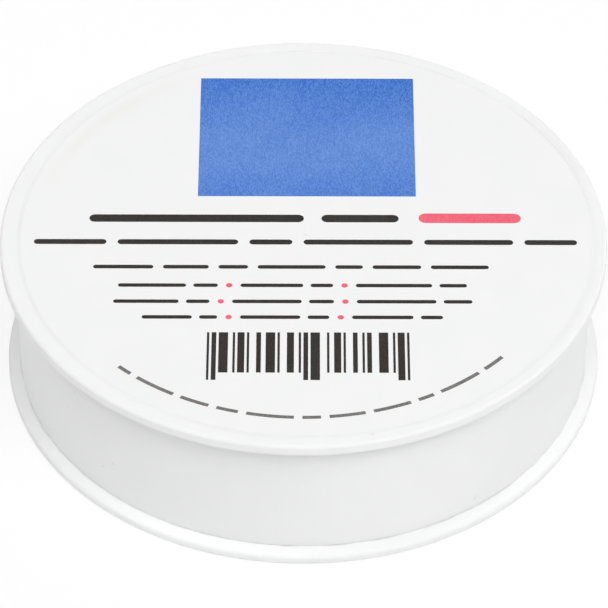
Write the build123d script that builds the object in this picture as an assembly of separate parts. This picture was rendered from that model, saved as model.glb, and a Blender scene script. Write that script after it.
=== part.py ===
from build123d import *
import math
import os

# Finger moistener: a round slip-lid pot of white moulded plastic with a cake of moistener in it.
# A low dish with a flange holds the cake. A deep lid slips over the dish and seats on the flange.
# Millimetres, +Z up, origin at the centre of the foot, on the plane that the pot stands on.

# Overall sizes
lid_diameter = 76.2
overall_height = 20.5

# Lid: a flat disc that overhangs a deep skirt
lid_overhang = 1.9
lid_plate = 1.5
lid_top_edge_round = 0.4
lid_under_edge_round = 0.25
skirt_wall = 1.2
skirt_root_round = 0.3
skirt_foot_round = 0.1
skirt_lead_in_round = 0.3
lid_inner_corner_round = 0.8

# Label: a thin printed disc in a shallow recess of the lid
label_margin = 1.95
label_thickness = 0.15
label_inset = 0.05
label_clearance = 0.1

# Dish: a drafted wall inside the skirt, and a flange that carries the skirt's foot
fit_gap = 0.35
grip_gap = 0.08
dish_wall = 1.2
dish_root_round = 0.25
rim_headroom = 3.0
rim_round = 0.4
floor_thickness = 1.4
floor_corner_round = 1.5
flange_overhang = 1.6
flange_land = 1.65
flange_bevel = 0.4
flange_edge_round = 0.3

# Grip bead: a low ring round the dish that the skirt's bore slides over
grip_bead_drop = 2.0
grip_bead_height = 1.6
grip_bead_round = 0.3

# Foot: a flat ring under the flange, round a shallow recess with the gate mark at its centre
foot_width = 4.5
foot_recess = 0.8
foot_recess_round = 0.3
gate_mark_diameter = 6.0
gate_mark_depth = 0.3

# Cake of moistener, cast in the dish and sunk a little in the middle as it set
cake_freeboard = 1.8
cake_shrink_gap = 0.1
cake_sink = 0.5

# Draft of every moulded wall, so that it leaves its mould
draft_angle = 0.5

# Largest share of a wall that one corner round may take
round_limit = 0.45

# Heights
lid_underside = overall_height - lid_plate
rim_top = lid_underside - rim_headroom
floor_top = foot_recess + floor_thickness
cake_top = rim_top - cake_freeboard
label_seat = overall_height - label_thickness - label_inset
flange_edge = flange_land - flange_bevel

# Radii at the height of the flange's land
lid_radius = lid_diameter / 2
skirt_radius = lid_radius - lid_overhang
bore_radius = skirt_radius - skirt_wall
dish_radius = bore_radius - fit_gap
dish_bore_radius = dish_radius - dish_wall
flange_radius = skirt_radius + flange_overhang
foot_inner_radius = flange_radius - foot_width

# Radii of the label and its recess
recess_radius = lid_radius - label_margin
label_radius = recess_radius - label_clearance


def widening(land_radius, height):
    """Radius at a height of a wall that its draft widens upwards."""
    return land_radius + (height - flange_land) * math.tan(math.radians(draft_angle))


def narrowing(land_radius, height):
    """Radius at a height of a wall that its draft narrows upwards."""
    return land_radius - (height - flange_land) * math.tan(math.radians(draft_angle))


def eased(corner_round, wall):
    """Corner round, held below half of the wall it sits on so that two of them leave a flat."""
    return min(corner_round, wall * round_limit)


def turned(corners):
    """Solid turned about Z from corners given as radius, height and corner round."""
    points = [(radius, height) for radius, height, corner_round in corners]
    rounds = [corner_round for radius, height, corner_round in corners]
    outline = FilletPolyline(*points, radius=rounds, close=True)
    return revolve(Plane.XZ * make_face(outline), Axis.Z)


def grip_bead_corners():
    """The bead's four corners, from its lower edge up, on the outside of the dish wall."""
    middle = rim_top - grip_bead_drop
    foot = middle - grip_bead_height / 2
    crest_start = middle - grip_bead_height / 4
    crest_end = middle + grip_bead_height / 4
    head = middle + grip_bead_height / 2
    crest_radius = bore_radius - grip_gap
    return [
        (narrowing(dish_radius, foot), foot, grip_bead_round),
        (narrowing(crest_radius, crest_start), crest_start, grip_bead_round),
        (narrowing(crest_radius, crest_end), crest_end, grip_bead_round),
        (narrowing(dish_radius, head), head, grip_bead_round),
    ]


def make_base_dish():
    """Dish with its flange, foot ring and grip bead."""
    gate_mark_radius = gate_mark_diameter / 2
    gate_mark_top = foot_recess + gate_mark_depth
    rim_outer = narrowing(dish_radius, rim_top)
    rim_inner = widening(dish_bore_radius, rim_top)
    rim_corner = eased(rim_round, rim_outer - rim_inner)
    flange_corner = eased(flange_edge_round, flange_edge)
    recess_corner = eased(foot_recess_round, foot_recess)
    underside = [
        (0, gate_mark_top, 0),
        (gate_mark_radius, gate_mark_top, 0),
        (gate_mark_radius, foot_recess, 0),
        (foot_inner_radius, foot_recess, recess_corner),
        (foot_inner_radius, 0, recess_corner),
    ]
    flange = [
        (flange_radius, 0, flange_corner),
        (flange_radius, flange_edge, flange_corner),
        (skirt_radius, flange_land, 0),
        (dish_radius, flange_land, min(dish_root_round, fit_gap)),
    ]
    rim_and_inside = [
        (rim_outer, rim_top, rim_corner),
        (rim_inner, rim_top, rim_corner),
        (widening(dish_bore_radius, floor_top), floor_top, floor_corner_round),
        (0, floor_top, 0),
    ]
    return turned(underside + flange + grip_bead_corners() + rim_and_inside)


def make_moistener_cake():
    """Cake that fills the dish to a little below its rim, with a sunken top."""
    foot_radius = widening(dish_bore_radius, floor_top) - cake_shrink_gap
    top_radius = widening(dish_bore_radius, cake_top) - cake_shrink_gap
    middle_of_top = (0, cake_top - cake_sink)
    edge_of_top = (top_radius, cake_top)
    side = FilletPolyline(
        middle_of_top, (0, floor_top), (foot_radius, floor_top), edge_of_top,
        radius=[0, floor_corner_round],
    )
    top = TangentArc(middle_of_top, edge_of_top, tangent=(1, 0))
    return revolve(Plane.XZ * make_face(side + top), Axis.Z)


def make_lid_shell():
    """Lid: overhanging disc, label recess, and a skirt whose foot seats on the flange."""
    skirt_root = widening(skirt_radius, lid_underside)
    bore_root = narrowing(bore_radius, lid_underside)
    return turned([
        (0, label_seat, 0),
        (recess_radius, label_seat, 0),
        (recess_radius, overall_height, 0),
        (lid_radius, overall_height, eased(lid_top_edge_round, lid_plate)),
        (lid_radius, lid_underside, eased(lid_under_edge_round, lid_plate)),
        (skirt_root, lid_underside, eased(skirt_root_round, lid_overhang)),
        (skirt_radius, flange_land, eased(skirt_foot_round, skirt_wall)),
        (bore_radius, flange_land, eased(skirt_lead_in_round, skirt_wall)),
        (bore_root, lid_underside, lid_inner_corner_round),
        (0, lid_underside, 0),
    ])


def make_lid_label():
    """Printed label disc, lying on the floor of its recess."""
    disc = Cylinder(label_radius, label_thickness, align=(Align.CENTER, Align.CENTER, Align.MIN))
    return Pos(0, 0, label_seat) * disc


os.makedirs("parts", exist_ok=True)
export_step(make_base_dish(), "parts/base_dish.step")
export_step(make_moistener_cake(), "parts/moistener_cake.step")
export_step(make_lid_shell(), "parts/lid_shell.step")
export_step(make_lid_label(), "parts/lid_label.step")
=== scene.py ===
import bpy
import math
from mathutils import Matrix, Vector, noise


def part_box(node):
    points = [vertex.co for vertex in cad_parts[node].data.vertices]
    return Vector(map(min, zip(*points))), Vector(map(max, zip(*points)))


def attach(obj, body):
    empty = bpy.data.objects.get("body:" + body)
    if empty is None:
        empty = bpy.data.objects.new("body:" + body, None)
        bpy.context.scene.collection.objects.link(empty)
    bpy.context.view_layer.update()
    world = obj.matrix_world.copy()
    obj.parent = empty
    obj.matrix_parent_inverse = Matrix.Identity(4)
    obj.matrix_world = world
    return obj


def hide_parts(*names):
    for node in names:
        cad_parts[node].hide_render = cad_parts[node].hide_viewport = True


# Finger moistener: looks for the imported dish, cake, lid and label. Metres, in the part's own frame.

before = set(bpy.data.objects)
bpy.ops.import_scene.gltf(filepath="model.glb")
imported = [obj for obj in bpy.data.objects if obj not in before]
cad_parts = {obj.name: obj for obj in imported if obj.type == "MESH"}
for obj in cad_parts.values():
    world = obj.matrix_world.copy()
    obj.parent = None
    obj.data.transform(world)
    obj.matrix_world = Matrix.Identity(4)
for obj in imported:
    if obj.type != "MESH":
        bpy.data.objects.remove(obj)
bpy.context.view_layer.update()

mm = 0.001

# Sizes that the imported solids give
lid_low, lid_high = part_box("lid_shell")
dish_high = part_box("base_dish")[1]
cake_low, cake_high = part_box("moistener_cake")
label_low, label_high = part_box("lid_label")
lid_radius = lid_high.x
lid_top = lid_high.z
land_height = lid_low.z
flange_radius = dish_high.x
rim_top = dish_high.z
floor_top = cake_low.z
cake_top = cake_high.z
label_radius = label_high.x
label_seat = label_low.z
label_top = label_high.z

# Wall sizes of the two mouldings
lid_overhang = 1.9 * mm
lid_plate = 1.5 * mm
skirt_wall = 1.2 * mm
fit_gap = 0.35 * mm
grip_gap = 0.08 * mm
dish_wall = 1.2 * mm
flange_bevel = 0.4 * mm
foot_width = 4.5 * mm
foot_recess = 0.8 * mm
label_clearance = 0.1 * mm
gate_mark_radius = 3.0 * mm
gate_mark_depth = 0.3 * mm
grip_bead_drop = 2.0 * mm
grip_bead_height = 1.6 * mm
draft_angle = math.radians(0.5)
draft = math.tan(draft_angle)
lid_underside = lid_top - lid_plate
skirt_radius = lid_radius - lid_overhang
bore_radius = skirt_radius - skirt_wall
dish_radius = bore_radius - fit_gap
dish_bore_radius = dish_radius - dish_wall
recess_radius = label_radius + label_clearance
foot_inner_radius = flange_radius - foot_width

# Corner rounds of the lid
groove_round = 0.2 * mm
lid_top_round = 0.4 * mm
lid_under_round = 0.25 * mm
skirt_root_round = 0.3 * mm
skirt_foot_round = 0.1 * mm
lead_in_round = 0.3 * mm
lid_inner_round = 0.8 * mm

# Corner rounds of the dish
gate_mark_round = 0.1 * mm
foot_round = 0.3 * mm
flange_round = 0.5 * mm
dish_root_round = 0.25 * mm
grip_bead_round = 0.3 * mm
rim_round = 0.4 * mm
floor_round = 1.5 * mm

# Mesh fineness
ring_steps = 288
round_steps = 7
hold_distance = 0.06 * mm
shortest_held_run = 3 * hold_distance
coarse_run = 1.5 * mm
fine_run = 0.45 * mm
axis_reach = 1e-9
sharp_angle = math.radians(32)


def widening(land_radius, height):
    """Radius at a height of a wall that its draft widens upwards."""
    return land_radius + (height - land_height) * draft


def narrowing(land_radius, height):
    """Radius at a height of a wall that its draft narrows upwards."""
    return land_radius - (height - land_height) * draft


# Turned meshes
def corner_arc(before, corner, after, size):
    """Points of a round of that size at a corner, from the side of before to the side of after."""
    to_before = (before - corner).normalized()
    to_after = (after - corner).normalized()
    half_angle = to_before.angle(to_after) / 2
    reach = size / math.tan(half_angle)
    middle = corner + (to_before + to_after).normalized() * size / math.sin(half_angle)
    start = (corner + to_before * reach - middle).normalized()
    end = (corner + to_after * reach - middle).normalized()
    points = []
    for step in range(round_steps + 1):
        points.append(middle + start.slerp(end, step / round_steps) * size)
    return points


def outline(corners, longest_run=coarse_run):
    """Radius and height pairs, from axis to axis, from corners of radius, height and round."""
    places = [Vector((radius, height)) for radius, height, size in corners]
    points = [places[0]]
    for index in range(1, len(corners) - 1):
        size = corners[index][2]
        if size > 0:
            points += corner_arc(places[index - 1], places[index], places[index + 1], size)
        else:
            points.append(places[index])
    points.append(places[-1])
    return held(points, longest_run)


def held(points, longest_run):
    """The same outline with points along each straight run and close to its ends, for even shading."""
    finer = [points[0]]
    for start, end in zip(points, points[1:]):
        length = (end - start).length
        if length > shortest_held_run:
            along = (end - start) / length
            pieces = max(1, math.ceil((length - 2 * hold_distance) / longest_run))
            for step in range(pieces + 1):
                distance = hold_distance + (length - 2 * hold_distance) * step / pieces
                finer.append(start + along * distance)
        finer.append(end)
    return finer


def turned(name, points, move=None):
    """Closed mesh turned about Z from an outline that starts and ends on the axis."""
    vertices = []
    rings = []
    for radius, height in points:
        if radius < axis_reach:
            rings.append([len(vertices)] * ring_steps)
            vertices.append(Vector((0, 0, height)))
            continue
        rings.append(list(range(len(vertices), len(vertices) + ring_steps)))
        for step in range(ring_steps):
            angle = 2 * math.pi * step / ring_steps
            place = Vector((radius * math.cos(angle), radius * math.sin(angle), height))
            vertices.append(move(place) if move else place)
    faces = []
    for lower, upper in zip(rings, rings[1:]):
        for step in range(ring_steps):
            after = (step + 1) % ring_steps
            face = [lower[step], lower[after], upper[after], upper[step]]
            faces.append(list(dict.fromkeys(face)))
    return mesh_object(name, vertices, faces)


def mesh_object(name, vertices, faces):
    """Object of a mesh, with faces turned outwards and smooth up to a sharp edge."""
    mesh = bpy.data.meshes.new(name)
    mesh.from_pydata([tuple(vertex) for vertex in vertices], [], faces)
    mesh.validate()
    piece = bpy.data.objects.new(name, mesh)
    bpy.context.scene.collection.objects.link(piece)
    bpy.context.view_layer.objects.active = piece
    piece.select_set(True)
    bpy.ops.object.mode_set(mode="EDIT")
    bpy.ops.mesh.select_all(action="SELECT")
    bpy.ops.mesh.normals_make_consistent(inside=False)
    bpy.ops.object.mode_set(mode="OBJECT")
    piece.select_set(False)
    mesh.shade_smooth()
    mesh.set_sharp_from_angle(angle=sharp_angle)
    return piece


def dress(piece, body, slot, material, *nodes):
    """Gives a piece its body and material, and hides the solids that it stands for. The slot is not used.
    """
    piece.data.materials.append(material)
    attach(piece, body)
    if nodes:
        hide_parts(*nodes)


def mark_points(piece, name, value):
    """Writes a number from 0 to 1 to each point of a piece's mesh, for its material to read."""
    data = piece.data.attributes.new(name, "FLOAT", "POINT")
    data.data.foreach_set("value", [value(vertex.co) for vertex in piece.data.vertices])


# Shift of the noise along Y, as a share of its seed
seed_share = 0.7


def wobble(place, size, seed):
    """Smooth noise from -1 to 1 whose bumps are about that size."""
    return noise.noise(place / size + Vector((seed, seed * seed_share, -seed)))


def radius_of(place):
    """Distance of a place from the pot's axis."""
    return math.hypot(place.x, place.y)


# Label's place in the lid: a little off centre, as it was laid, with a shallow groove round it
label_shift = 0.33 * mm
shift_end_radius = 37.3 * mm
groove_depth = 0.028 * mm
groove_width = 0.5 * mm

# Painted shade, with some dust, in the ring line between label and rim, darkest about one spot on the left
# where the label's edge is in shade
ring_line_radius = 36.05 * mm
ring_line_core = 0.1 * mm
ring_line_reach = 0.34 * mm
ring_shade_spot = (-35.5 * mm, -6.0 * mm)
ring_shade_core = 8 * mm
ring_shade_reach = 34 * mm
ring_shade_shares = (0.022, 0.11)
ring_shade_size = 3 * mm
ring_shade_unevenness = (0.6, 1.3)
shade_and_smudge_grey = (0.5, 0.495, 0.485)

# Smudge on the rim, about another spot
smudge_radius = 36.5 * mm
smudge_width_core = 0.3 * mm
smudge_width_reach = 0.9 * mm
smudge_spot = (32.6 * mm, 17.3 * mm)
smudge_core = 4 * mm
smudge_reach = 12 * mm
smudge_size = 2.2 * mm
smudge_noise = (0.4, 0.65)
smudge_shares = (0.02, 0.08)

# How close to the lid's top the painted ring shade and the smudge lie
top_core = 0.1 * mm
top_reach = 0.2 * mm

# Range that most of a noise lies in
usual_noise = (0.3, 0.7)


# Materials
class Look:
    """A material with a Principled shader, and short ways to add what feeds it."""

    def __init__(self, name):
        self.material = bpy.data.materials.new(name)
        self.material.use_nodes = True
        self.tree = self.material.node_tree
        self.shader = self.tree.nodes["Principled BSDF"]
        self.place = self.tree.nodes.new("ShaderNodeTexCoord").outputs["Object"]

    def feed(self, name, source):
        """Links a node's output to one of the shader's sockets."""
        self.tree.links.new(source, self.shader.inputs[name])

    def constant(self, name, value):
        """Sets one of the shader's sockets to a value that is the same all over."""
        self.shader.inputs[name].default_value = value

    def noise(self, size, detail=2.0, roughness=0.5, stretch=(1, 1, 1)):
        """Noise from 0 to 1 with bumps of about that size in metres, drawn out by the stretch."""
        mapping = self.tree.nodes.new("ShaderNodeMapping")
        mapping.inputs["Scale"].default_value = [1 / (size * part) for part in stretch]
        self.tree.links.new(self.place, mapping.inputs["Vector"])
        node = self.tree.nodes.new("ShaderNodeTexNoise")
        node.inputs["Scale"].default_value = 1.0
        node.inputs["Detail"].default_value = detail
        node.inputs["Roughness"].default_value = roughness
        self.tree.links.new(mapping.outputs["Vector"], node.inputs["Vector"])
        return node.outputs["Fac"]

    def between(self, value, low, high, start, end):
        """Value mapped from low and high to start and end, and held there."""
        node = self.tree.nodes.new("ShaderNodeMapRange")
        node.inputs["From Min"].default_value = low
        node.inputs["From Max"].default_value = high
        node.inputs["To Min"].default_value = start
        node.inputs["To Max"].default_value = end
        self.tree.links.new(value, node.inputs["Value"])
        return node.outputs["Result"]

    def varied(self, size, start, end, detail):
        """Noise with bumps of about that size, spread from start to end."""
        return self.between(self.noise(size, detail), *usual_noise, start, end)

    def math(self, operation, first, second=None):
        """One operation on a node's output, with another node's output or a number."""
        node = self.tree.nodes.new("ShaderNodeMath")
        node.operation = operation
        self.tree.links.new(first, node.inputs[0])
        if isinstance(second, float):
            node.inputs[1].default_value = second
        elif second:
            self.tree.links.new(second, node.inputs[1])
        return node.outputs[0]

    def product(self, first, *others):
        """Product of nodes' outputs and numbers, the first of them an output."""
        for other in others:
            first = self.math("MULTIPLY", first, other)
        return first

    def near(self, value, middle, inner, outer):
        """1 where a value is within inner of the middle, falling to 0 at outer."""
        away = self.math("ABSOLUTE", self.math("SUBTRACT", value, middle))
        return self.between(away, inner, outer, 1, 0)

    def parts(self):
        """Place along X, Y and Z."""
        node = self.tree.nodes.new("ShaderNodeSeparateXYZ")
        self.tree.links.new(self.place, node.inputs[0])
        return node.outputs["X"], node.outputs["Y"], node.outputs["Z"]

    def distance(self, x, y):
        """Distance from the upright axis that x and y are measured from."""
        across = self.product(x, x)
        along = self.product(y, y)
        return self.math("SQRT", self.math("ADD", across, along))

    def around(self, x, y, spot, inner, outer):
        """1 within inner of the upright line through a spot, falling to 0 at outer."""
        across = self.math("SUBTRACT", x, spot[0])
        along = self.math("SUBTRACT", y, spot[1])
        return self.between(self.distance(across, along), inner, outer, 1, 0)

    def mix(self, share, first, second):
        """Colour mixed by a share. Each colour is another node's output or three numbers."""
        node = self.tree.nodes.new("ShaderNodeMix")
        node.data_type = "RGBA"
        self.tree.links.new(share, node.inputs["Factor"])
        for socket, colour in ((node.inputs["A"], first), (node.inputs["B"], second)):
            if isinstance(colour, tuple):
                socket.default_value = (*colour, 1)
            else:
                self.tree.links.new(colour, socket)
        return node.outputs["Result"]

    def attribute(self, name):
        """A number that the mesh carries at its points."""
        node = self.tree.nodes.new("ShaderNodeAttribute")
        node.attribute_name = name
        return node.outputs["Fac"]

    def bump(self, height, distance, below=None):
        """Bump of that depth in metres, over another bump."""
        node = self.tree.nodes.new("ShaderNodeBump")
        node.inputs["Distance"].default_value = distance
        self.tree.links.new(height, node.inputs["Height"])
        if below:
            self.tree.links.new(below, node.inputs["Normal"])
        return node.outputs["Normal"]

    def lit_inside(self, weight, radius):
        """Lets light in and out again by about that radius in metres, for red, green and blue."""
        self.constant("Subsurface Weight", weight)
        self.constant("Subsurface Radius", radius)
        self.constant("Subsurface Scale", 1.0)

    def shaded_ring_and_smudge(self, tint):
        """Colour with a painted shade line, with some dust, where the label meets the lid's rim, and a
        faint smudge on the rim.
        """
        x, y, height = self.parts()
        radius = self.distance(self.math("SUBTRACT", x, label_shift), y)
        at_top = self.near(height, lid_top, top_core, top_reach)
        at_ring = self.near(radius, ring_line_radius, ring_line_core, ring_line_reach)
        thick = self.between(self.around(x, y, ring_shade_spot, ring_shade_core, ring_shade_reach), 0, 1, *ring_shade_shares)
        uneven = self.varied(ring_shade_size, *ring_shade_unevenness, detail=2)
        # Painted shade along the ring line, darkest about its spot
        ring_shaded = self.mix(self.product(at_ring, at_top, thick, uneven), tint, shade_and_smudge_grey)
        at_rim = self.near(radius, smudge_radius, smudge_width_core, smudge_width_reach)
        rubbed = self.around(x, y, smudge_spot, smudge_core, smudge_reach)
        patches = self.between(self.noise(smudge_size, detail=3), *smudge_noise, *smudge_shares)
        return self.mix(self.product(at_rim, at_top, rubbed, patches), ring_shaded, shade_and_smudge_grey)


# White plastic
plastic_tints = ((0.864, 0.868, 0.867), (0.881, 0.885, 0.883))
flow_size = 14 * mm
speck_size = 1.3 * mm
speck_noise = (0.79, 0.83)
speck_share = 0.35
speck_grey = (0.62, 0.61, 0.59)
# Painted shade in patches along the parting line between lid skirt and flange
seam_width_core = 0.06 * mm
seam_width_reach = 0.24 * mm
seam_height_core = 0.1 * mm
seam_height_reach = 0.3 * mm
seam_patch_size = 2.6 * mm
seam_patch_noise = (0.46, 0.68)
seam_patch_share = 0.3
seam_shade_grey = (0.5, 0.49, 0.47)
plastic_sheen_size = 5 * mm
plastic_roughness = (0.58, 0.7)
plastic_wave_size = 9 * mm
plastic_wave_depth = 0.02 * mm
plastic_grain_size = 0.35 * mm
plastic_grain_depth = 0.004 * mm
plastic_ior = 1.49
plastic_specular = 0.35
plastic_inside = 0.1
plastic_inside_reach = (1.0 * mm, 0.95 * mm, 0.9 * mm)


def white_plastic():
    """Satin moulded polypropylene with faint flow marks, rare specks and patchy painted shade at the
    parting line.
    """
    look = Look("white_plastic")
    tint = look.mix(look.varied(flow_size, 0, 1, detail=3), *plastic_tints)
    speck = look.between(look.noise(speck_size, detail=1), *speck_noise, 0, speck_share)
    tint = look.mix(speck, tint, speck_grey)
    x, y, height = look.parts()
    at_seam = look.near(look.distance(x, y), skirt_radius, seam_width_core, seam_width_reach)
    at_land = look.near(height, land_height, seam_height_core, seam_height_reach)
    patches = look.between(look.noise(seam_patch_size, detail=3), *seam_patch_noise, 0, seam_patch_share)
    # Painted shade in patches at the parting line
    tint = look.mix(look.product(at_seam, at_land, patches), tint, seam_shade_grey)
    # Painted shade along the label's ring line, and a faint smudge on the rim
    look.feed("Base Color", look.shaded_ring_and_smudge(tint))
    look.feed("Roughness", look.varied(plastic_sheen_size, *plastic_roughness, detail=4))
    waves = look.bump(look.noise(plastic_wave_size, detail=1), plastic_wave_depth)
    grain = look.noise(plastic_grain_size, detail=3)
    look.feed("Normal", look.bump(grain, plastic_grain_depth, below=waves))
    look.constant("IOR", plastic_ior)
    look.constant("Specular IOR Level", plastic_specular)
    look.lit_inside(plastic_inside, plastic_inside_reach)
    return look.material


# Label paper
paper_tints = ((0.869, 0.871, 0.873), (0.883, 0.884, 0.883))
paper_cloud_size = 6 * mm
paper_lifted_tint = (0.845, 0.845, 0.815)
paper_sheen_size = 2 * mm
paper_roughness = (0.42, 0.52)
fibre_size = 0.25 * mm
fibre_roughness = 0.6
fibre_depth = 0.003 * mm


def label_stock():
    """Coated label paper with a faint fibre and a soft sheen, darker and yellower along its lifted wrinkle.
    """
    look = Look("label_stock")
    tint = look.mix(look.varied(paper_cloud_size, 0, 1, detail=4), *paper_tints)
    # Darker, yellower tint along the lifted wrinkle
    tint = look.mix(look.attribute("lifted"), tint, paper_lifted_tint)
    # Painted shade along the label's ring line, and a faint smudge on the rim
    look.feed("Base Color", look.shaded_ring_and_smudge(tint))
    look.feed("Roughness", look.varied(paper_sheen_size, *paper_roughness, detail=3))
    fibre = look.noise(fibre_size, detail=3, roughness=fibre_roughness)
    look.feed("Normal", look.bump(fibre, fibre_depth))
    return look.material


# Inks, each with a thin, a full and a pale shade
dark_shades = ((0.027, 0.021, 0.018), (0.011, 0.008, 0.007), (0.11, 0.105, 0.1))
blue_shades = ((0.084, 0.226, 0.655), (0.009, 0.107, 0.495), (0.45, 0.66, 1.0))
red_shades = ((0.87, 0.15, 0.21), (0.83, 0.095, 0.15), (0.9, 0.4, 0.44))
fine_shades = ((0.22, 0.21, 0.2), (0.12, 0.115, 0.11), (0.35, 0.34, 0.33))
ink_grain_size = 0.135 * mm
ink_grain_roughness = 0.6
ink_grain_stretch = (1, 2.8, 1)
ink_grain_noise = (0.38, 0.62)
ink_patch_size = 8 * mm
ink_patch_noise = (0.35, 0.65)
ink_patch_share = 0.06
ink_sheen_size = 1.5 * mm
ink_roughness = (0.42, 0.54)
ink_bump_size = 0.25 * mm
ink_bump_depth = 0.003 * mm
ink_specular = 0.25

# Paler band across the blue panel: middle, core and reach along Y, and share
pale_band = (16 * mm, 4 * mm, 14.5 * mm)
pale_band_share = 0.13


def ink(name, shades, band=None):
    """Printing ink with a fine grain between a thin and a full shade, paler in patches or in a band."""
    thin, full, pale = shades
    look = Look(name)
    grain = look.noise(ink_grain_size, detail=3, roughness=ink_grain_roughness, stretch=ink_grain_stretch)
    tint = look.mix(look.between(grain, *ink_grain_noise, 0, 1), thin, full)
    patches = look.between(look.noise(ink_patch_size, detail=3), *ink_patch_noise, 0, ink_patch_share)
    tint = look.mix(patches, tint, pale)
    if band:
        y = look.parts()[1]
        tint = look.mix(look.product(look.near(y, *band), pale_band_share), tint, pale)
    look.feed("Base Color", tint)
    look.feed("Roughness", look.varied(ink_sheen_size, *ink_roughness, detail=2))
    look.feed("Normal", look.bump(look.noise(ink_bump_size, detail=3), ink_bump_depth))
    look.constant("Specular IOR Level", ink_specular)
    return look.material


# Cake
cake_tints = ((0.83, 0.46, 0.49), (0.88, 0.55, 0.57))
cake_cloud_size = 11 * mm
fleck_size = 1.1 * mm
fleck_noise = (0.64, 0.74)
fleck_share = 0.3
fleck_tint = (0.93, 0.72, 0.72)
cake_sheen_size = 3 * mm
cake_roughness = (0.28, 0.5)
swirl_size = 4 * mm
swirl_depth = 0.05 * mm
cake_grain_size = 0.5 * mm
cake_grain_depth = 0.012 * mm
cake_ior = 1.45
cake_inside = 0.4
cake_inside_reach = (2.4 * mm, 1.2 * mm, 1.1 * mm)


def moistener():
    """Waxy pale pink cake: clouded, soft and slightly moist on top."""
    look = Look("moistener")
    tint = look.mix(look.varied(cake_cloud_size, 0, 1, detail=4), *cake_tints)
    fleck = look.between(look.noise(fleck_size, detail=2), *fleck_noise, 0, fleck_share)
    look.feed("Base Color", look.mix(fleck, tint, fleck_tint))
    look.feed("Roughness", look.varied(cake_sheen_size, *cake_roughness, detail=4))
    swirl = look.bump(look.noise(swirl_size, detail=3), swirl_depth)
    grain = look.noise(cake_grain_size, detail=3)
    look.feed("Normal", look.bump(grain, cake_grain_depth, below=swirl))
    look.constant("IOR", cake_ior)
    look.lit_inside(cake_inside, cake_inside_reach)
    return look.material


# Nicks in the outer edge of the skirt's foot
nick_depth = 0.03 * mm
nick_size = 2.2 * mm
nick_seed = 3.1
nick_zone_height = 0.25 * mm
nick_zone_width = 0.3 * mm


def lid_finish(place):
    """Moves the recess off centre, and lifts the skirt's foot where its edge left the mould uneven."""
    radius = radius_of(place)
    if place.z > label_seat - hold_distance:
        share = (shift_end_radius - radius) / (shift_end_radius - recess_radius - 2 * groove_width)
        return place + Vector((label_shift * min(1.0, max(0.0, share)), 0, 0))
    if place.z < land_height + nick_zone_height and radius > skirt_radius - nick_zone_width:
        lift = max(0.0, wobble(place, nick_size, nick_seed)) * nick_depth
        return place + Vector((0, 0, lift))
    return place


def make_lid(material):
    """Lid with its label recess and drafted skirt."""
    points = outline([
        (0, label_seat, 0),
        (recess_radius, label_seat, 0),
        (recess_radius, lid_top - groove_depth, 0),
        (recess_radius + groove_width, lid_top, groove_round),
        (lid_radius, lid_top, lid_top_round),
        (lid_radius, lid_underside, lid_under_round),
        (widening(skirt_radius, lid_underside), lid_underside, skirt_root_round),
        (skirt_radius, land_height, skirt_foot_round),
        (bore_radius, land_height, lead_in_round),
        (narrowing(bore_radius, lid_underside), lid_underside, lid_inner_round),
        (0, lid_underside, 0),
    ])
    dress(turned("lid", points, lid_finish), "lid", "white_plastic", material, "lid_shell")


# Corners of the grip bead: share of its height above its middle, and whether it is on the crest
bead_corners = ((-0.5, False), (-0.25, True), (0.25, True), (0.5, False))


def make_dish(material):
    """Dish with its foot, flange, grip bead and rim."""
    bead_middle = rim_top - grip_bead_drop
    bead = []
    for offset, at_crest in bead_corners:
        height = bead_middle + offset * grip_bead_height
        land_radius = bore_radius - grip_gap if at_crest else dish_radius
        bead.append((narrowing(land_radius, height), height, grip_bead_round))
    points = outline([
        (0, foot_recess + gate_mark_depth, 0),
        (gate_mark_radius, foot_recess + gate_mark_depth, gate_mark_round),
        (gate_mark_radius, foot_recess, gate_mark_round),
        (foot_inner_radius, foot_recess, foot_round),
        (foot_inner_radius, 0, foot_round),
        (flange_radius, 0, flange_round),
        (flange_radius, land_height - flange_bevel, flange_round),
        (skirt_radius, land_height, 0),
        (dish_radius, land_height, dish_root_round),
        *bead,
        (narrowing(dish_radius, rim_top), rim_top, rim_round),
        (widening(dish_bore_radius, rim_top), rim_top, rim_round),
        (widening(dish_bore_radius, floor_top), floor_top, floor_round),
        (0, floor_top, 0),
    ])
    dress(turned("dish", points), "base", "white_plastic", material, "base_dish")


# Set surface of the cake
cake_gap = 0.1 * mm
cake_sink = 0.5 * mm
cake_top_zone = 0.6 * mm
meniscus_width = 1.6 * mm
dished_share = 0.45
meniscus_share = 1 - dished_share
ripple_height = 0.06 * mm
broad_ripple_size = 13 * mm
broad_ripple_seed = 1.7
fine_ripple_size = 5 * mm
fine_ripple_seed = 5.3
fine_ripple_share = 0.5


def settled(place):
    """Moves a place on the cake's top to its set surface: sunk and rippled, with a meniscus at the wall."""
    if place.z < cake_top - cake_top_zone:
        return place
    edge = widening(dish_bore_radius, cake_top) - cake_gap
    climb = math.exp((radius_of(place) - edge) / meniscus_width)
    dished = (radius_of(place) / edge) ** 2
    ripple = wobble(place, broad_ripple_size, broad_ripple_seed)
    ripple += fine_ripple_share * wobble(place, fine_ripple_size, fine_ripple_seed)
    fall = cake_sink * (1 - dished_share * dished - meniscus_share * climb)
    fall -= ripple_height * ripple * (1 - climb)
    return Vector((place.x, place.y, cake_top - max(0.0, fall)))


def make_cake(material):
    """Cast cake that fills the dish to below its rim."""
    points = outline([
        (0, floor_top, 0),
        (widening(dish_bore_radius, floor_top) - cake_gap, floor_top, floor_round),
        (widening(dish_bore_radius, cake_top) - cake_gap, cake_top, 0),
        (0, cake_top, 0),
    ], fine_run)
    dress(turned("cake", points, settled), "base", "cake", material, "moistener_cake")


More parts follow.
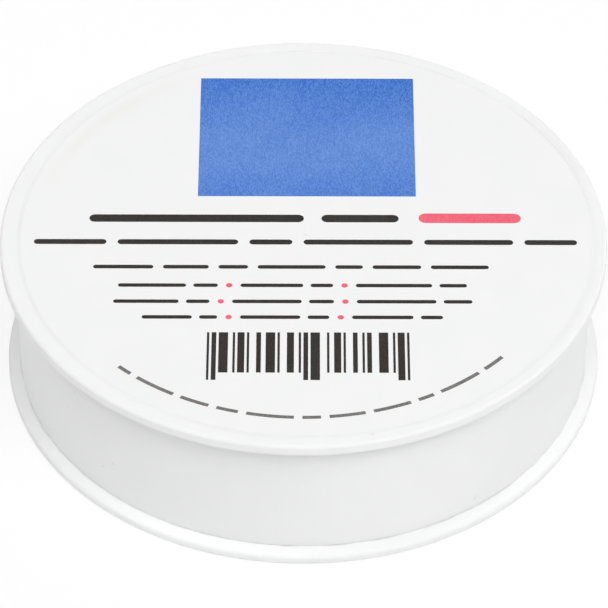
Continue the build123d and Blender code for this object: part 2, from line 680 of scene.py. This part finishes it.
# Stretch of the label that was not pressed flat
wrinkle_height = 0.03 * mm
wrinkle_radius = 34.2 * mm
wrinkle_width = 0.9 * mm
wrinkle_start = math.radians(112)
wrinkle_end = math.radians(168)
wrinkle_bump_size = 2.5 * mm
wrinkle_seed = 2.2
wrinkle_even_share = 0.6
wrinkle_uneven_share = 0.4
label_top_zone = 0.01 * mm


def laid(place):
    """Moves a place on the label to where it was laid, lifted along its wrinkle."""
    lift = 0.0
    along = (math.atan2(place.y, place.x) - wrinkle_start) / (wrinkle_end - wrinkle_start)
    if place.z > label_top - label_top_zone and 0 < along < 1:
        across = (radius_of(place) - wrinkle_radius) / wrinkle_width
        lift = wrinkle_height * math.sin(math.pi * along) * math.exp(-across * across)
        bumps = wobble(place, wrinkle_bump_size, wrinkle_seed)
        lift *= wrinkle_even_share + wrinkle_uneven_share * bumps
    return place + Vector((label_shift, 0, lift))


def make_label(material):
    """Label disc, which fills the lid's recess to its wall."""
    points = outline([
        (0, label_seat, 0),
        (recess_radius, label_seat, 0),
        (recess_radius, label_top, 0),
        (0, label_top, 0),
    ], fine_run)
    label = turned("label", points, laid)
    mark_points(label, "lifted", lambda place: min(1.0, max(0.0, place.z - label_top) / wrinkle_height))
    dress(label, "lid", "label", material, "lid_label")


# Print on the label: a plain panel, lines of plain bars and dots, plain stripes, and an arc of fine bars
film = 0.012 * mm
sunk = 0.02 * mm
end_steps = 8
arc_piece = math.radians(1.0)
run_swing = 0.5
run_pace = 2.4


class Print:
    """Flat shapes in one ink, gathered into one thin mesh on the label. Sizes in millimetres."""

    def __init__(self):
        self.vertices = []
        self.faces = []

    def shape(self, points):
        """Adds a thin closed slab with that outline of x and y pairs, in order."""
        start = len(self.vertices)
        count = len(points)
        for height in (label_top - sunk, label_top + film):
            self.vertices += [Vector((x * mm, y * mm, height)) for x, y in points]
        self.faces.append([start + step for step in reversed(range(count))])
        self.faces.append([start + count + step for step in range(count)])
        for step in range(count):
            after = (step + 1) % count
            self.faces.append([start + step, start + after, start + count + after, start + count + step])

    def rectangle(self, left, right, bottom, top):
        """Adds a rectangle."""
        self.shape([(left, bottom), (right, bottom), (right, top), (left, top)])

    def bar(self, left, right, middle, height):
        """Adds a bar with round ends, longer than it is high."""
        half = height / 2
        points = []
        for centre, first in ((right - half, -90), (left + half, 90)):
            for step in range(end_steps + 1):
                angle = math.radians(first + 180 * step / end_steps)
                points.append((centre + half * math.cos(angle), middle + half * math.sin(angle)))
        self.shape(points)

    def curved_bar(self, start, end, radius, height):
        """Adds a bar along an arc about the label's centre, between two angles."""
        steps = max(2, math.ceil((end - start) / arc_piece))
        angles = [start + (end - start) * step / steps for step in range(steps + 1)]
        points = []
        for side, turns in ((radius + height / 2, angles), (radius - height / 2, reversed(angles))):
            points += [(side * math.cos(angle), side * math.sin(angle)) for angle in turns]
        self.shape(points)

    def dot(self, x, y, width):
        """Adds a round dot."""
        half = width / 2
        points = []
        for step in range(2 * end_steps):
            angle = math.pi * step / end_steps
            points.append((x + half * math.cos(angle), y + half * math.sin(angle)))
        self.shape(points)

    def bars(self, left, right, middle, height, count, gap):
        """Adds a line of bars of uneven length between two ends."""
        for start, end in uneven_runs(left, right, count, gap):
            self.bar(start, end, middle, height)

    def finish(self, name, material):
        """Makes the piece."""
        dress(mesh_object(name, self.vertices, self.faces), "lid", "label", material)


def uneven_runs(left, right, count, gap):
    """Start and end of each run when a line is split into runs of uneven length with gaps between."""
    weights = [1 + run_swing * math.sin(run_pace * index + count) for index in range(count)]
    room = right - left - gap * (count - 1)
    runs = []
    start = left
    for weight in weights:
        end = start + room * weight / sum(weights)
        runs.append((start, end))
        start = end + gap
    return runs


# Panel, in millimetres: left, right, bottom and top
panel_box = (-13.4, 14.24, 7.34, 30.62)


def make_panel(blue):
    """Bare panel at the back of the label."""
    panel = Print()
    panel.rectangle(*panel_box)
    panel.finish("print_panel", blue)


# Lines of bars, in millimetres: left, right, middle, height, count and gap
bar_lines = (
    (-27.0, 12.0, 3.1, 1.4, 2, 2.2),
    (-33.8, 34.3, -1.35, 0.92, 6, 1.4),
    (-26.2, 23.1, -6.0, 0.66, 7, 1.2),
)

# Red bar at the end of the first line: left, right, middle and height
red_bar = (14.5, 27.4, 3.2, 1.8)

# Lines with two dots between their groups of bars: left, first dot, second dot, right and middle
dotted_lines = (
    (-23.0, -9.2, 5.1, 20.3, -9.4),
    (-23.5, -10.2, 5.2, 20.9, -12.35),
    (-19.9, -9.2, 4.6, 17.2, -15.2),
)
dot_width = 0.8
dot_room = 1.4
group_height = 0.62
group_count = 2
group_gap = 0.9


def make_lines(dark, red):
    """Lines of bars, the last three with dots between their groups."""
    lines = Print()
    accents = Print()
    accents.bar(*red_bar)
    for line in bar_lines:
        lines.bars(*line)
    for left, first_dot, second_dot, right, middle in dotted_lines:
        for start, end in ((left, first_dot), (first_dot, second_dot), (second_dot, right)):
            near_start = start if start == left else start + dot_room
            near_end = end if end == right else end - dot_room
            lines.bars(near_start, near_end, middle, group_height, group_count, group_gap)
        for dot in (first_dot, second_dot):
            accents.dot(dot, middle, dot_width)
    lines.finish("print_lines", dark)
    accents.finish("print_accents", red)


# Stripes, in millimetres. A bar is 1 to 4 units wide and a gap 1 to 3
stripe_pairs = 23
stripe_left = -11.8
stripe_right = 13.0
stripe_top = -17.95
short_stripe_foot = -25.1
long_stripe_foot = -26.4
long_stripes = (0, 1, 11, 12, 21, 22)
stripe_step = math.sqrt(2) - 1
gap_step = stripe_step * 1.7
gap_start = 0.3
bar_choices = 4
bar_bias = 1.5
gap_choices = 3
gap_bias = 1.3


def make_stripes(dark):
    """Block of plain stripes, whose widths come from a formula and stand for nothing."""
    widths = []
    for index in range(stripe_pairs):
        bar_share = index * stripe_step % 1
        gap_share = (index * gap_step + gap_start) % 1
        bar = 1 + int(bar_choices * bar_share ** bar_bias)
        gap = 1 + int(gap_choices * gap_share ** gap_bias)
        widths.append((bar, gap))
    unit = (stripe_right - stripe_left) / (sum(bar + gap for bar, gap in widths) - widths[-1][1])
    stripes = Print()
    place = stripe_left
    for index, (bar, gap) in enumerate(widths):
        foot = long_stripe_foot if index in long_stripes else short_stripe_foot
        stripes.rectangle(place, place + bar * unit, foot, stripe_top)
        place += (bar + gap) * unit
    stripes.finish("print_stripes", dark)


# Arc of fine bars: angles about the label's centre, and millimetres
arc_start = math.radians(-133)
arc_end = math.radians(-42.5)
arc_count = 11
arc_gap = math.radians(1.8)
arc_radius = 32.9
arc_bar_height = 0.52


def make_arc(fine):
    """Arc of fine bars along the label's front edge."""
    arc = Print()
    for start, end in uneven_runs(arc_start, arc_end, arc_count, arc_gap):
        arc.curved_bar(start, end, arc_radius, arc_bar_height)
    arc.finish("print_arc", fine)


# Stage
fill_level = 0.35
white_level = 1.0
shadow_share = 0.25
floor_size = 4.0
floor_drop = 0.02 * mm
floor_tints = ((0.955, 0.955, 0.955), (0.965, 0.965, 0.965))
floor_cloud_size = 0.3
floor_roughness = 0.9
lamp_size = 1.3
lamp_distance = 2.5

# Lamps: name, turn to the right of the front and elevation in degrees, and how bright it makes white
lamps = (
    ("left", -90, 60, 0.181),
    ("front", 0, 60, 0.273),
    ("right", 45, 53, 0.31),
    ("back_right", 135, 30, 0.167),
)


def seen_rays(tree):
    """1 for rays from the camera and for those that show in gloss or glass, or else 0."""
    rays = tree.nodes.new("ShaderNodeLightPath")
    seen = rays.outputs["Is Camera Ray"]
    for name in ("Is Glossy Ray", "Is Transmission Ray"):
        larger = tree.nodes.new("ShaderNodeMath")
        larger.operation = "MAXIMUM"
        tree.links.new(seen, larger.inputs[0])
        tree.links.new(rays.outputs[name], larger.inputs[1])
        seen = larger.outputs[0]
    return seen


def mix_shaders(tree, share, first, second, output):
    """Links two shaders, mixed by a share, to an output's surface."""
    mixer = tree.nodes.new("ShaderNodeMixShader")
    tree.links.new(share, mixer.inputs["Fac"])
    tree.links.new(first.outputs[0], mixer.inputs[1])
    tree.links.new(second.outputs[0], mixer.inputs[2])
    tree.links.new(mixer.outputs[0], tree.nodes[output].inputs["Surface"])


def make_floor():
    """Wide pale floor that shows white and keeps the pot's soft shadow."""
    corners = []
    for across, along in ((-1, -1), (1, -1), (1, 1), (-1, 1)):
        corners.append((across * floor_size, along * floor_size, -floor_drop))
    floor = mesh_object("floor", corners, [[0, 1, 2, 3]])
    look = Look("floor")
    look.feed("Base Color", look.mix(look.noise(floor_cloud_size), *floor_tints))
    look.constant("Roughness", floor_roughness)
    look.constant("Specular IOR Level", 0.0)
    white = look.tree.nodes.new("ShaderNodeEmission")
    white.inputs["Strength"].default_value = white_level
    shown_white = look.product(seen_rays(look.tree), 1 - shadow_share)
    mix_shaders(look.tree, shown_white, look.shader, white, "Material Output")
    floor.data.materials.append(look.material)


def make_world():
    """Even studio fill, seen by the camera and in reflections as plain white."""
    world = bpy.data.worlds.new("studio")
    world.use_nodes = True
    bpy.context.scene.world = world
    tree = world.node_tree
    fill = tree.nodes["Background"]
    fill.inputs["Color"].default_value = (1, 1, 1, 1)
    fill.inputs["Strength"].default_value = fill_level
    white = tree.nodes.new("ShaderNodeBackground")
    white.inputs["Strength"].default_value = white_level
    mix_shaders(tree, seen_rays(tree), fill, white, "World Output")


def make_lamp(name, turn, elevation, level):
    """Soft round lamp aimed at the pot."""
    lamp = bpy.data.lights.new(name, "AREA")
    lamp.shape = "DISK"
    lamp.size = lamp_size
    lamp.energy = level * math.pi ** 2 * lamp_distance ** 2
    piece = bpy.data.objects.new(name, lamp)
    bpy.context.scene.collection.objects.link(piece)
    turned_by = math.radians(turn)
    raised_by = math.radians(elevation)
    flat = math.cos(raised_by)
    towards = Vector((math.sin(turned_by) * flat, -math.cos(turned_by) * flat, math.sin(raised_by)))
    piece.location = towards * lamp_distance
    piece.rotation_euler = towards.to_track_quat("Z", "Y").to_euler()


# Camera, in the photograph's place
camera_place = Vector((0, -420.17 * mm, 396.18 * mm))
camera_target = Vector((0.085 * mm, 0, 8.645 * mm))
camera_roll = math.radians(0.137)
camera_lens = 265.75
camera_sensor = 36
camera_clip_start = 0.01


def make_camera():
    """Long lens from the front, about 43 degrees up."""
    lens = bpy.data.cameras.new("camera")
    lens.lens = camera_lens
    lens.sensor_width = camera_sensor
    lens.clip_start = camera_clip_start
    piece = bpy.data.objects.new("camera", lens)
    bpy.context.scene.collection.objects.link(piece)
    turn = (camera_place - camera_target).to_track_quat("Z", "Y").to_matrix().to_4x4()
    piece.matrix_world = Matrix.Translation(camera_place) @ turn @ Matrix.Rotation(camera_roll, 4, "Z")
    bpy.context.scene.camera = piece


# The pieces, their print and the stage
plastic = white_plastic()
dark_ink = ink("dark_ink", dark_shades)
make_lid(plastic)
make_dish(plastic)
make_cake(moistener())
make_label(label_stock())
make_panel(ink("blue_ink", blue_shades, pale_band))
make_lines(dark_ink, ink("red_ink", red_shades))
make_stripes(dark_ink)
make_arc(ink("fine_ink", fine_shades))
make_floor()
make_world()
for lamp in lamps:
    make_lamp(*lamp)
make_camera()
bpy.context.scene.view_settings.view_transform = "Standard"
